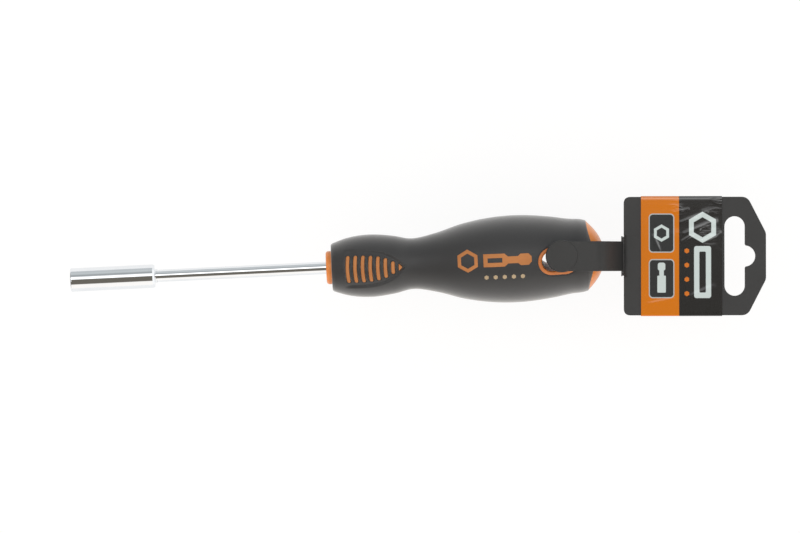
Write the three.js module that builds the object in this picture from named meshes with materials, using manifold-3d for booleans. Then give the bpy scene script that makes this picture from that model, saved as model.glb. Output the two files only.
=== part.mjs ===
// Bit holder screwdriver: chromed shaft with a hex sleeve, overmoulded handle, and a hang tag in its eye.
// Millimetres, +Z up. The tool lies along X, with its nose towards -X and its handle towards +X.
// The origin is the centre of the magnet's face, where the end of a bit rests.
import * as THREE from "three";
import { mergeVertices } from "three/addons/utils/BufferGeometryUtils.js";
import Module from "manifold-3d";

const wasm = await Module();
wasm.setup();

// Bit sleeve and what sits in its socket
const HEX_ACROSS_FLATS = 6.45;
const SOCKET_DEPTH = 14;
const SOCKET_LEAD_IN = 0.5;
const SOCKET_LEAD_IN_DEPTH = 1;
const SOCKET_MOUTH_SPARE = 0.12;
const SLEEVE_D = 9.5;
const SLEEVE_LENGTH = 34.6;
const SLEEVE_TAPER_LENGTH = 0.6;
const SLEEVE_END_EDGE = 1.1;
const SLEEVE_END_WALL = 0.4;
const SLEEVE_NOSE_EDGE = 0.45;
const RING_WIRE_D = 0.7;
const RING_INNER_D = 6.6;
const RING_AT = 4.6;
const RING_SPLIT_DEG = 40;
const MAGNET_D = 6;
const MAGNET_LENGTH = 3;

// Shaft
const SHAFT_D = 5;
const SHAFT_REACH = 102.3;
const SHAFT_IN_SLEEVE = 14;
const TANG_LENGTH = 68;
const TANG_END_EDGE = 0.6;
const WING_AT = 52;
const WING_LENGTH = 14;
const WING_WIDTH = 8.4;
const WING_THICKNESS = 3;

// Handle, measured from the front of its collar
const COLLAR_D = 13.3;
const COLLAR_LENGTH = 2.2;
const COLLAR_EDGE = 0.7;
const GRIP_END = 104.1;
const DOME_HEIGHT = 7.2;
const DOME_BLUNTNESS = 2.2;
const DOME_STEP = 0.1;
const GRIP_WALL = 2;
const BODY_WALL = 3;
const CORE_FRONT = 8;
const CORE_END = 79;

// Outside of the grip: distance behind the collar's front, and diameter
const GRIP_STATIONS = [
  [COLLAR_LENGTH, 18.85],
  [8, 22.7],
  [17.8, 25],
  [27, 23.2],
  [34.6, 20.3],
  [44, 23.6],
  [55, 30.1],
  [75.6, 34.9],
  [90, 32.55],
  [98, 29.95],
  [102.6, 29.1],
  [GRIP_END, 28.3],
];

// How far the tool is rolled about its own line, as it lies with the tag flat
const TOOL_ROLL_DEG = 6.5;

// Thumb pads, one on each flat side of the eye
const PAD_AT = 7.4;
const PAD_LENGTH = 24.6;
const PAD_WIDTH = 15.4;
const PAD_BLUNTNESS = 4;
const PAD_DEPTH = 0.7;
const RIB_COUNT = 8;
const RIB_PITCH = 3.02;
const RIB_FIRST = 1.15;
const RIB_WIDTH = 1.4;
const RIB_MARGIN = 2.3;
const RIB_RISE = 0.35;

// Hanging eye
const EYE_AT = 92.4;
const EYE_LENGTH = 13.2;
const EYE_WIDTH = 8;
const EYE_RIM = 1.5;

// Hang tag: where its post stands in the eye, and how far the tag is turned from the tool's line
const POST_BEHIND_EYE = 1.3;
const POST_ASIDE = 0.1;
const TAG_TURN_DEG = -2.65;
const POST_D = 3.6;
const POST_TIP_D = 2.6;
const POST_TIP_LENGTH = 1;
const ARM_REACH = 25.45;
const ARM_THICKNESS = 1.4;
const ARM_FLAT_LENGTH = 13;
const ARM_BEND_EASE = 4.6;
const ARM_ROOT_RUN = 3.6;
const ARM_ROOT_RISE = 6.2;
const FRONT_ARM_WIDTH = 11.9;
const FRONT_DISC_D = 12.8;
const FRONT_DISC_RISE = 0.25;
const REAR_ARM_WIDTH = 8;
const REAR_RING_BORE = 4.8;
const ROOT_WIDTH = 16;
const ROOT_LENGTH = 0.5;
const ROOT_HEIGHT = 1;
const HINGE_GAP = 0.5;
const HINGE_BEVEL = 1.5;
const HINGE_LAND = 0.15;

// Tag plate of two leaves, and its label
const PLATE_LENGTH = 56.8;
const PLATE_WIDTH = 47.4;
const LEAF_THICKNESS = 1.2;
const LEAF_GAP = 0.1;
const PLATE_CORNER_R = 2.7;
const PLATE_SLANT_LENGTH = 7.4;
const PLATE_SLANT_WIDTH = 14.4;
const PLATE_SLANT_R = 4;
const SLOT_AT = 44.3;
const SLOT_WIDTH = 8.2;
const SLOT_LENGTH = 31.8;
const SLOT_BUMP_R = 4.2;
const LABEL_AT = 6.8;
const LABEL_LENGTH = 32.4;
const LABEL_FILM = 0.2;

// Clearances
const PRESS_GAP = 0.1;
const MOULD_GAP = 0.1;
const RUNNING_GAP = 0.3;

// Facets
const ROUND_SIDES = 24;
const HANDLE_SIDES = 24;
const HANDLE_RINGS = 20;
const DOME_RINGS = 6;
const CURVE_STEPS = 8;
const WIRE_SIDES = 8;
const RING_STEPS = 20;
const SAME_POINT = 1e-4;

// Worked-out places
const NOSE_X = -SOCKET_DEPTH;
const HANDLE_X = NOSE_X + SHAFT_REACH;
const SHAFT_START_X = NOSE_X + SLEEVE_LENGTH - SHAFT_IN_SLEEVE;
const PLATE_HALF_THICKNESS = LEAF_GAP / 2 + LEAF_THICKNESS;
const POST_AT = EYE_AT + POST_BEHIND_EYE;
const FAR = 40;
const CUT_PAST = 1;

const CHROME = new THREE.MeshStandardMaterial({ color: 0xd9dbde, roughness: 0.12, metalness: 1 });
const SPRING_STEEL = new THREE.MeshStandardMaterial({ color: 0x8d9096, roughness: 0.35, metalness: 1 });
const MAGNET_NICKEL = new THREE.MeshStandardMaterial({ color: 0xa9a8a4, roughness: 0.3, metalness: 1 });
const CORE_PLASTIC = new THREE.MeshStandardMaterial({ color: 0x3a3a3c, roughness: 0.6, metalness: 0 });
const ORANGE_PLASTIC = new THREE.MeshStandardMaterial({ color: 0xd97b2c, roughness: 0.4, metalness: 0 });
const SOFT_GRIP = new THREE.MeshStandardMaterial({ color: 0x3c3c3e, roughness: 0.75, metalness: 0 });
const TAG_PLASTIC = new THREE.MeshStandardMaterial({ color: 0x3e3e3e, roughness: 0.55, metalness: 0 });
const LABEL_PRINT = new THREE.MeshStandardMaterial({ color: 0xcf7524, roughness: 0.25, metalness: 0 });

// A closed geometry as a solid that can be joined and cut
function solid(geometry) {
  geometry.deleteAttribute("normal");
  geometry.deleteAttribute("uv");
  const merged = mergeVertices(geometry, SAME_POINT);
  const index = merged.index.array;
  const triangles = [];
  for (let i = 0; i < index.length; i += 3) {
    const [a, b, c] = [index[i], index[i + 1], index[i + 2]];
    if (a !== b && b !== c && c !== a) triangles.push(a, b, c);
  }
  const vertProperties = new Float32Array(merged.attributes.position.array);
  const triVerts = new Uint32Array(triangles);
  return new wasm.Manifold(new wasm.Mesh({ numProp: 3, vertProperties, triVerts }));
}

// A solid as a named mesh
function piece(name, body, material) {
  const { vertProperties, triVerts } = body.getMesh();
  const geometry = new THREE.BufferGeometry();
  geometry.setAttribute("position", new THREE.BufferAttribute(vertProperties, 3));
  geometry.setIndex(new THREE.BufferAttribute(triVerts, 1));
  geometry.computeVertexNormals();
  const mesh = new THREE.Mesh(geometry, material);
  mesh.name = name;
  return mesh;
}

// A solid of revolution about X from [x, radius] points that start and end on the axis, in rising x
function turned(points, sides) {
  const profile = points.map(([x, r]) => new THREE.Vector2(r, x));
  return solid(new THREE.LatheGeometry(profile, sides).rotateZ(-Math.PI / 2));
}

// A cylinder about X
function barX(fromX, toX, diameter, sides = ROUND_SIDES) {
  const r = diameter / 2;
  return turned([[fromX, 0], [fromX, r], [toX, r], [toX, 0]], sides);
}

// A solid of revolution about Z from [z, radius] points that start and end on the axis, in rising z
function turnedZ(points) {
  const profile = points.map(([z, r]) => new THREE.Vector2(r, z));
  return solid(new THREE.LatheGeometry(profile, ROUND_SIDES).rotateX(Math.PI / 2));
}

// A cylinder about Z
function barZ(fromZ, toZ, diameter) {
  const r = diameter / 2;
  return turnedZ([[fromZ, 0], [fromZ, r], [toZ, r], [toZ, 0]]);
}

// A box between two corners
function block([x0, y0, z0], [x1, y1, z1]) {
  const geometry = new THREE.BoxGeometry(x1 - x0, y1 - y0, z1 - z0);
  return solid(geometry.translate((x0 + x1) / 2, (y0 + y1) / 2, (z0 + z1) / 2));
}

// A shape in X and Y, pushed up from one height to another
function pushedUp(shape, fromZ, toZ) {
  const settings = { depth: toZ - fromZ, bevelEnabled: false, curveSegments: CURVE_STEPS };
  return solid(new THREE.ExtrudeGeometry(shape, settings).translate(0, 0, fromZ));
}

// A shape in X and Z, pushed out to the same width on each side of Y = 0
function pushedSideways(shape, width) {
  const settings = { depth: width, bevelEnabled: false, curveSegments: CURVE_STEPS };
  const geometry = new THREE.ExtrudeGeometry(shape, settings);
  return solid(geometry.rotateX(Math.PI / 2).translate(0, width / 2, 0));
}

// A slot with round ends along X, as an outline
function stadium(atX, length, width) {
  const r = width / 2;
  const half = length / 2 - r;
  const shape = new THREE.Shape();
  shape.absarc(atX + half, 0, r, -Math.PI / 2, Math.PI / 2);
  shape.absarc(atX - half, 0, r, Math.PI / 2, (3 * Math.PI) / 2);
  return shape;
}

// Slope of a smooth curve at one of its stations: level at a peak or a hollow
function slopeAt(i) {
  const rise = (j) => (GRIP_STATIONS[j + 1][1] - GRIP_STATIONS[j][1]) / 2;
  const run = (j) => GRIP_STATIONS[j + 1][0] - GRIP_STATIONS[j][0];
  const last = GRIP_STATIONS.length - 1;
  if (i === 0) return rise(0) / run(0);
  if (i === last) return rise(last - 1) / run(last - 1);
  const before = rise(i - 1) / run(i - 1);
  const after = rise(i) / run(i);
  if (before * after <= 0) return 0;
  return (before * run(i) + after * run(i - 1)) / (run(i) + run(i - 1));
}

// Radius of the grip at a distance behind the collar's front
function gripRadius(at) {
  const count = GRIP_STATIONS.length;
  let i = 0;
  while (i < count - 2 && at > GRIP_STATIONS[i + 1][0]) i += 1;
  const [x0, d0] = GRIP_STATIONS[i];
  const [x1, d1] = GRIP_STATIONS[i + 1];
  const run = x1 - x0;
  const t = (at - x0) / run;
  const ease = t * t * (3 - 2 * t);
  const bend = t * (1 - t) * (1 - t) * slopeAt(i) - t * t * (1 - t) * slopeAt(i + 1);
  return d0 / 2 + ((d1 - d0) / 2) * ease + bend * run;
}

// Distances between two stations of the handle, the same for every layer, so that the layers nest
function ringsBetween(from, to) {
  const step = (GRIP_END - COLLAR_LENGTH) / HANDLE_RINGS;
  const inner = Array.from({ length: HANDLE_RINGS - 1 }, (_, i) => COLLAR_LENGTH + (i + 1) * step);
  return [from, ...inner.filter((at) => at > from + step / 4 && at < to - step / 4), to];
}

// The handle's solid at a depth under the surface of the grip
function handleLayer(from, to, depth) {
  const skin = ringsBetween(from, to).map((at) => [HANDLE_X + at, gripRadius(at) - depth]);
  return turned([[HANDLE_X + from, 0], ...skin, [HANDLE_X + to, 0]], HANDLE_SIDES);
}

// Points of the hollow curve that leads from the sleeve's end edge down to the shaft
function sleeveTaper(fromX, fromR, toR) {
  return Array.from({ length: CURVE_STEPS / 2 + 1 }, (_, i) => {
    const angle = (i / (CURVE_STEPS / 2)) * (Math.PI / 2);
    const x = fromX + SLEEVE_TAPER_LENGTH * (1 - Math.cos(angle));
    return [x, fromR - (fromR - toR) * Math.sin(angle)];
  });
}

function makeSleeve() {
  const r = SLEEVE_D / 2;
  const endX = NOSE_X + SLEEVE_LENGTH;
  const taperX = endX - SLEEVE_TAPER_LENGTH;
  const endR = SHAFT_D / 2 + PRESS_GAP + SLEEVE_END_WALL;
  const outside = turned(
    [
      [NOSE_X, 0],
      [NOSE_X, r - SLEEVE_NOSE_EDGE],
      [NOSE_X + SLEEVE_NOSE_EDGE, r],
      [taperX - SLEEVE_END_EDGE, r],
      ...sleeveTaper(taperX, r - SLEEVE_END_EDGE / 2, endR),
      [endX, 0],
    ],
    ROUND_SIDES,
  );
  const cornerR = HEX_ACROSS_FLATS / 2 / Math.cos(Math.PI / 6);
  const hex = barX(NOSE_X - CUT_PAST, MAGNET_LENGTH + PRESS_GAP, 2 * cornerR, 6);
  const mouthR = cornerR + SOCKET_MOUTH_SPARE;
  const leadIn = turned(
    [
      [NOSE_X - CUT_PAST, 0],
      [NOSE_X - CUT_PAST, mouthR],
      [NOSE_X, mouthR],
      [NOSE_X + SOCKET_LEAD_IN_DEPTH, mouthR - SOCKET_LEAD_IN],
      [NOSE_X + SOCKET_LEAD_IN_DEPTH, 0],
    ],
    ROUND_SIDES,
  );
  const grooveHalf = RING_WIRE_D / 2 + PRESS_GAP;
  const grooveD = RING_INNER_D + 2 * RING_WIRE_D + 2 * PRESS_GAP;
  const groove = barX(NOSE_X + RING_AT - grooveHalf, NOSE_X + RING_AT + grooveHalf, grooveD);
  const bore = barX(SHAFT_START_X - PRESS_GAP, endX + CUT_PAST, SHAFT_D + 2 * PRESS_GAP);
  return piece("bit_sleeve", outside.subtract(hex).subtract(leadIn).subtract(groove).subtract(bore), CHROME);
}

// The open circle that the ring's wire follows
class SplitRing extends THREE.Curve {
  getPoint(t, target = new THREE.Vector3()) {
    const split = THREE.MathUtils.degToRad(RING_SPLIT_DEG);
    const angle = split / 2 + t * (2 * Math.PI - split);
    const r = (RING_INNER_D + RING_WIRE_D) / 2;
    return target.set(NOSE_X + RING_AT, r * Math.cos(angle), r * Math.sin(angle));
  }
}

function makeRetainingRing() {
  const wire = new THREE.Shape().absarc(0, 0, RING_WIRE_D / 2, 0, 2 * Math.PI);
  const settings = { steps: RING_STEPS, curveSegments: WIRE_SIDES / 2, extrudePath: new SplitRing() };
  return piece("retaining_ring", solid(new THREE.ExtrudeGeometry(wire, settings)), SPRING_STEEL);
}

function makeMagnet() {
  return piece("bit_magnet", barX(0, MAGNET_LENGTH, MAGNET_D), MAGNET_NICKEL);
}

// The shaft's bar with its wings, grown by a gap where another piece is cut by it
function shaftSolid(gap) {
  const r = SHAFT_D / 2 + gap;
  const endX = HANDLE_X + TANG_LENGTH + gap;
  const bar = turned(
    [
      [SHAFT_START_X, 0],
      [SHAFT_START_X, r],
      [endX - TANG_END_EDGE, r],
      [endX, r - TANG_END_EDGE],
      [endX, 0],
    ],
    ROUND_SIDES,
  );
  const wingX = HANDLE_X + WING_AT;
  const wings = block(
    [wingX - WING_LENGTH / 2 - gap, -WING_WIDTH / 2 - gap, -WING_THICKNESS / 2 - gap],
    [wingX + WING_LENGTH / 2 + gap, WING_WIDTH / 2 + gap, WING_THICKNESS / 2 + gap],
  );
  return bar.add(wings);
}

function makeShaft() {
  return piece("shaft", shaftSolid(0), CHROME);
}

const CORE_DEPTH = GRIP_WALL + BODY_WALL;

function makeInnerCore() {
  const core = handleLayer(CORE_FRONT, CORE_END, CORE_DEPTH);
  return piece("inner_core", core.subtract(shaftSolid(MOULD_GAP)), CORE_PLASTIC);
}

// Half width of a thumb pad at a distance behind its blunt end
function padHalfWidth(behind) {
  const share = behind / PAD_LENGTH;
  return (PAD_WIDTH / 2) * (1 - share ** PAD_BLUNTNESS);
}

// The thumb pad's leaf outline
function padOutline() {
  const shape = new THREE.Shape();
  shape.moveTo(HANDLE_X + PAD_AT, 0);
  const side = (sign) =>
    Array.from({ length: CURVE_STEPS }, (_, i) => {
      const behind = (i / CURVE_STEPS) * PAD_LENGTH;
      return [HANDLE_X + PAD_AT + behind, sign * padHalfWidth(behind)];
    });
  side(-1).forEach(([x, y]) => shape.lineTo(x, y));
  shape.lineTo(HANDLE_X + PAD_AT + PAD_LENGTH, 0);
  side(1).reverse().forEach(([x, y]) => shape.lineTo(x, y));
  return shape;
}

// The bars of both thumb pads, through the whole handle, grown by a gap where the grip is cut by them.
// Each stops short of the pad's edge, and the last one is only twice as long as it is wide.
function ribBars(gap) {
  const bars = Array.from({ length: RIB_COUNT }, (_, i) => {
    const behind = RIB_FIRST + i * RIB_PITCH;
    const x = HANDLE_X + PAD_AT + behind;
    const halfX = RIB_WIDTH / 2 + gap;
    const halfY = Math.max(padHalfWidth(behind) - RIB_MARGIN, RIB_WIDTH) + gap;
    return block([x - halfX, -halfY, -FAR], [x + halfX, halfY, FAR]);
  });
  return bars.reduce((all, bar) => all.add(bar));
}

function eyePrism(grow) {
  return pushedUp(stadium(HANDLE_X + EYE_AT, EYE_LENGTH + 2 * grow, EYE_WIDTH + 2 * grow), -FAR, FAR);
}

// Points of the end dome, a blunt parabola that rises from the rear rim of the body
function domePoints() {
  const rimR = gripRadius(GRIP_END) - DOME_STEP;
  return Array.from({ length: DOME_RINGS }, (_, i) => {
    const share = 1 - i / DOME_RINGS;
    return [HANDLE_X + GRIP_END + DOME_HEIGHT * (1 - share ** DOME_BLUNTNESS), rimR * share];
  });
}

function makeOrangeBody() {
  const collarR = COLLAR_D / 2;
  const skinFrom = COLLAR_LENGTH + GRIP_WALL;
  const skinTo = GRIP_END - GRIP_WALL;
  const skin = ringsBetween(skinFrom, skinTo).map((at) => [HANDLE_X + at, gripRadius(at) - GRIP_WALL]);
  const outside = turned(
    [
      [HANDLE_X, 0],
      [HANDLE_X, collarR - COLLAR_EDGE],
      [HANDLE_X + COLLAR_EDGE, collarR],
      [HANDLE_X + skinFrom, collarR],
      ...skin,
      [HANDLE_X + GRIP_END, gripRadius(skinTo) - GRIP_WALL],
      ...domePoints(),
      [HANDLE_X + GRIP_END + DOME_HEIGHT, 0],
    ],
    HANDLE_SIDES,
  );
  const ribTops = handleLayer(COLLAR_LENGTH, GRIP_END, PAD_DEPTH - RIB_RISE);
  const ribs = ribBars(0).intersect(ribTops);
  const eyeLining = eyePrism(EYE_RIM).intersect(handleLayer(COLLAR_LENGTH, GRIP_END, 0));
  const cavity = handleLayer(CORE_FRONT - MOULD_GAP, CORE_END + MOULD_GAP, CORE_DEPTH - MOULD_GAP);
  const bore = barX(HANDLE_X - CUT_PAST, HANDLE_X + CORE_FRONT + CUT_PAST, SHAFT_D + 2 * MOULD_GAP);
  const body = outside.add(ribs).add(eyeLining).subtract(cavity).subtract(bore).subtract(eyePrism(0));
  return piece("orange_body", body, ORANGE_PLASTIC);
}

function makeGrip() {
  const endAt = GRIP_END - MOULD_GAP;
  const outside = handleLayer(COLLAR_LENGTH, endAt, 0);
  const innerDepth = GRIP_WALL - MOULD_GAP;
  const skinFrom = COLLAR_LENGTH + GRIP_WALL - MOULD_GAP;
  const skinTo = GRIP_END - GRIP_WALL;
  const skin = ringsBetween(skinFrom, skinTo).map((at) => [HANDLE_X + at, gripRadius(at) - innerDepth]);
  const collarR = COLLAR_D / 2 + MOULD_GAP;
  const hollow = turned(
    [
      [HANDLE_X - CUT_PAST, 0],
      [HANDLE_X - CUT_PAST, collarR],
      [HANDLE_X + skinFrom, collarR],
      ...skin,
      [HANDLE_X + GRIP_END + CUT_PAST, gripRadius(skinTo) - innerDepth],
      [HANDLE_X + GRIP_END + CUT_PAST, 0],
    ],
    HANDLE_SIDES,
  );
  const padFloor = handleLayer(COLLAR_LENGTH, GRIP_END, PAD_DEPTH);
  const pads = pushedUp(padOutline(), -FAR, FAR).subtract(padFloor);
  const grip = outside
    .subtract(hollow)
    .subtract(pads)
    .subtract(ribBars(MOULD_GAP))
    .subtract(eyePrism(EYE_RIM + MOULD_GAP));
  return piece("grip", grip, SOFT_GRIP);
}

// Height of the arms' inner faces: clear of the thickest part of the handle that the disc passes over
const ARM_SEAT_Z = gripRadius(POST_AT - FRONT_DISC_D / 2) + RUNNING_GAP;

// Side view of an arm: flat over the handle, then bent down to the plate. Side is 1 in front and -1 behind.
function armOutline(side) {
  const z = ARM_SEAT_Z + ARM_THICKNESS / 2;
  const rootX = ARM_REACH - HINGE_GAP;
  const line = new THREE.Path();
  line.moveTo(0, z);
  line.lineTo(ARM_FLAT_LENGTH, z);
  const bendX = ARM_FLAT_LENGTH + ARM_BEND_EASE;
  line.bezierCurveTo(bendX, z, rootX - ARM_ROOT_RUN, ARM_ROOT_RISE, rootX, -ARM_THICKNESS);
  const points = line.getPoints(CURVE_STEPS);
  const offset = (sign) =>
    points.map((point, i) => {
      const before = points[Math.max(i - 1, 0)];
      const after = points[Math.min(i + 1, points.length - 1)];
      const along = after.clone().sub(before).normalize();
      const away = new THREE.Vector2(-along.y, along.x).multiplyScalar((sign * ARM_THICKNESS) / 2);
      return new THREE.Vector2(point.x + away.x, side * (point.y + away.y));
    });
  return new THREE.Shape([...offset(1), ...offset(-1).reverse()]);
}

// The space on one side of the tag's middle plane, of a length and height at the living hinge and short of it
function sideSpace(side, length, height) {
  const near = LEAF_GAP / 2;
  const [z0, z1] = side > 0 ? [near, height] : [-height, -near];
  const rootX = ARM_REACH - HINGE_GAP;
  return block([rootX - length, -FAR, z0], [rootX, FAR, z1]);
}

function makeFrontArm() {
  const topZ = ARM_SEAT_Z + ARM_THICKNESS;
  const strap = pushedSideways(armOutline(1), FRONT_ARM_WIDTH).intersect(sideSpace(1, FAR, FAR));
  const disc = barZ(ARM_SEAT_Z, topZ + FRONT_DISC_RISE, FRONT_DISC_D);
  const tipZ = -ARM_SEAT_Z - POST_TIP_LENGTH;
  const post = turnedZ([
    [tipZ, 0],
    [tipZ, POST_TIP_D / 2],
    [tipZ + POST_TIP_LENGTH, POST_D / 2],
    [topZ - ARM_THICKNESS / 2, POST_D / 2],
    [topZ - ARM_THICKNESS / 2, 0],
  ]);
  return piece("front_arm", strap.add(disc).add(post), TAG_PLASTIC);
}

function makeRearArm() {
  const outZ = ARM_SEAT_Z + ARM_THICKNESS;
  const outline = armOutline(-1);
  const strap = pushedSideways(outline, REAR_ARM_WIDTH).intersect(sideSpace(-1, FAR, FAR));
  const root = pushedSideways(outline, ROOT_WIDTH).intersect(sideSpace(-1, ROOT_LENGTH, ROOT_HEIGHT));
  const ring = barZ(-outZ, -ARM_SEAT_Z, REAR_ARM_WIDTH);
  const hole = barZ(-outZ - CUT_PAST, CUT_PAST - ARM_SEAT_Z, REAR_RING_BORE);
  return piece("rear_arm", strap.add(root).add(ring).subtract(hole), TAG_PLASTIC);
}

// An outline of straight sides with rounded corners, each corner as [x, y, radius]
function roundedOutline(corners) {
  const shape = new THREE.Shape();
  corners.forEach(([x, y, radius], i) => {
    const corner = new THREE.Vector2(x, y);
    const towards = (j) => {
      const [nx, ny] = corners[(i + j + corners.length) % corners.length];
      return new THREE.Vector2(nx, ny).sub(corner).normalize();
    };
    const before = towards(-1);
    const after = towards(1);
    const half = Math.acos(before.dot(after)) / 2;
    const reach = radius / Math.tan(half);
    const start = corner.clone().addScaledVector(before, reach);
    const end = corner.clone().addScaledVector(after, reach);
    if (i === 0) shape.moveTo(start.x, start.y);
    else shape.lineTo(start.x, start.y);
    shape.quadraticCurveTo(x, y, end.x, end.y);
  });
  shape.closePath();
  return shape;
}

// The tag's plate with its slanted far corners
function plateOutline() {
  const half = PLATE_WIDTH / 2;
  const farX = ARM_REACH + PLATE_LENGTH;
  const slantX = farX - PLATE_SLANT_LENGTH;
  const slantY = half - PLATE_SLANT_WIDTH;
  return roundedOutline([
    [ARM_REACH, -half, PLATE_CORNER_R],
    [slantX, -half, PLATE_SLANT_R],
    [farX, -slantY, PLATE_SLANT_R],
    [farX, slantY, PLATE_SLANT_R],
    [slantX, half, PLATE_SLANT_R],
    [ARM_REACH, half, PLATE_CORNER_R],
  ]);
}

// The euro slot: a cross slot with round ends and a bump for a single peg
function euroSlot() {
  const x = ARM_REACH + SLOT_AT;
  const r = SLOT_WIDTH / 2;
  const half = SLOT_LENGTH / 2 - r;
  const slot = new THREE.Shape();
  slot.absarc(x, half, r, 0, Math.PI);
  slot.absarc(x, -half, r, Math.PI, 2 * Math.PI);
  const bump = new THREE.Shape().absarc(x + r, 0, SLOT_BUMP_R, 0, 2 * Math.PI);
  return pushedUp(slot, -FAR, FAR).add(pushedUp(bump, -FAR, FAR));
}

// The bevel at a leaf's root, which gives the living hinge room to fold. Side is 1 in front and -1 behind.
function hingeBevel(side) {
  const slope = (PLATE_HALF_THICKNESS - LEAF_GAP / 2 - HINGE_LAND) / HINGE_BEVEL;
  const z = (x) => side * (LEAF_GAP / 2 + HINGE_LAND + slope * (x - ARM_REACH));
  const nearX = ARM_REACH - CUT_PAST;
  const farX = ARM_REACH + HINGE_BEVEL + CUT_PAST;
  const wedge = new THREE.Shape();
  wedge.moveTo(nearX, z(nearX));
  wedge.lineTo(farX, z(farX));
  wedge.lineTo(nearX, z(farX));
  return pushedSideways(wedge, ROOT_WIDTH + 2 * RUNNING_GAP);
}

function makeLeaf(name, side) {
  const near = (side * LEAF_GAP) / 2;
  const far = side * PLATE_HALF_THICKNESS;
  const plate = pushedUp(plateOutline(), Math.min(near, far), Math.max(near, far));
  return piece(name, plate.subtract(euroSlot()).subtract(hingeBevel(side)), TAG_PLASTIC);
}

function makeLabel() {
  const x0 = ARM_REACH + LABEL_AT;
  const x1 = x0 + LABEL_LENGTH;
  const innerY = PLATE_WIDTH / 2 + PRESS_GAP;
  const innerZ = PLATE_HALF_THICKNESS + PRESS_GAP;
  const outerY = innerY + LABEL_FILM;
  const outerZ = innerZ + LABEL_FILM;
  const outside = block([x0, -outerY, -outerZ], [x1, outerY, outerZ]);
  const inside = block([x0 - CUT_PAST, -innerY, -innerZ], [x1 + CUT_PAST, innerY, innerZ]);
  return piece("label_wrap", outside.subtract(inside), LABEL_PRINT);
}

// The hang tag, about the axis of its post
function makeTag() {
  const tag = new THREE.Group();
  tag.add(makeFrontArm());
  tag.add(makeRearArm());
  tag.add(makeLeaf("tag_front_leaf", 1));
  tag.add(makeLeaf("tag_rear_leaf", -1));
  tag.add(makeLabel());
  tag.position.set(HANDLE_X + POST_AT, POST_ASIDE, 0);
  tag.rotation.z = THREE.MathUtils.degToRad(TAG_TURN_DEG);
  return tag;
}

// The screwdriver, rolled about its own line
function makeDriver() {
  const driver = new THREE.Group();
  driver.add(makeShaft());
  driver.add(makeSleeve());
  driver.add(makeRetainingRing());
  driver.add(makeMagnet());
  driver.add(makeInnerCore());
  driver.add(makeOrangeBody());
  driver.add(makeGrip());
  driver.rotation.x = THREE.MathUtils.degToRad(TOOL_ROLL_DEG);
  return driver;
}

const tool = new THREE.Group();
tool.add(makeDriver());
tool.add(makeTag());

export default tool;
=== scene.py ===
"""Looks of a bit holder screwdriver and its hang tag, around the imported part.

Shapes are worked out in millimetres, in the part's own frame, and finished in metres.
"""

import math

import bmesh
import bpy
from mathutils import Matrix, Vector


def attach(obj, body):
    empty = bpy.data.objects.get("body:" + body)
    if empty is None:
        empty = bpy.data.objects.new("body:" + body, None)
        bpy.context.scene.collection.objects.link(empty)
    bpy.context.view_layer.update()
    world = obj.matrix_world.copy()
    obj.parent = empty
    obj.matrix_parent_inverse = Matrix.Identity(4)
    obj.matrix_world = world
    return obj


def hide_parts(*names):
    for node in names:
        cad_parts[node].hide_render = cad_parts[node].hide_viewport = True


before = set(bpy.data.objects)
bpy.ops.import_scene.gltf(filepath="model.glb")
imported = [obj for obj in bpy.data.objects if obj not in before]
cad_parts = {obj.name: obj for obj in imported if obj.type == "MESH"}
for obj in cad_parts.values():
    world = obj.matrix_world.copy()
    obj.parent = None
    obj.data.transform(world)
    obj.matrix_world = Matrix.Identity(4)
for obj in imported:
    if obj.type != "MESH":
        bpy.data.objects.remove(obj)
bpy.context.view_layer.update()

MM = 0.001

# Sleeve and what sits in its socket
NOSE_X = -14.0
SLEEVE_R = 4.75
SLEEVE_END_X = 20.6
SLEEVE_TAPER = 0.4
SLEEVE_NECK = 0.45
SLEEVE_END_EDGE = 0.85
SLEEVE_END_DROP = 0.32
SLEEVE_END_R = 2.75
NOSE_EDGE = 0.45
HEX_ACROSS_FLATS = 6.45
MOUTH_R = 3.844
LEAD_IN = 0.5
LEAD_IN_DEPTH = 1.0
RING_X = -9.4
RING_WIRE_R = 0.35
RING_R = 3.65
RING_SPLIT = math.radians(40)
GROOVE_HALF = 0.45
GROOVE_R = 4.1
MAGNET_R = 3.0
MAGNET_LENGTH = 3.0
SHAFT_R = 2.5
SHAFT_START_X = 6.6
SHAFT_CHAMFER = 0.3
PRESS_GAP = 0.1

# Handle, measured from the front of its collar
HANDLE_X = 88.3
COLLAR_R = 6.65
COLLAR_LENGTH = 2.2
COLLAR_EDGE = 1.1
GRIP_END = 104.1
DOME_HEIGHT = 7.2
DOME_BLUNTNESS = 2.2
LIP_REACH = 2.8
LIP_LEAST = 0.15
LIP_RISE = 0.14
GRIP_WALL = 2.0
CORE_DEPTH = 5.0
CORE_FRONT = 8.0
CORE_END = 79.0
TANG_END = 68.0
TANG_CHAMFER = 0.6
WING_AT = 52.0
WING_SIZE = (14.0, 8.4, 3.0)
GRIP_STATIONS = [
    (2.2, 18.85),
    (8.0, 22.7),
    (17.8, 25.0),
    (27.0, 23.2),
    (34.6, 20.3),
    (44.0, 23.6),
    (55.0, 30.1),
    (75.6, 34.9),
    (90.0, 32.55),
    (98.0, 29.95),
    (102.6, 29.1),
    (104.1, 28.3),
]
TOOL_ROLL = math.radians(6.5)

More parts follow.
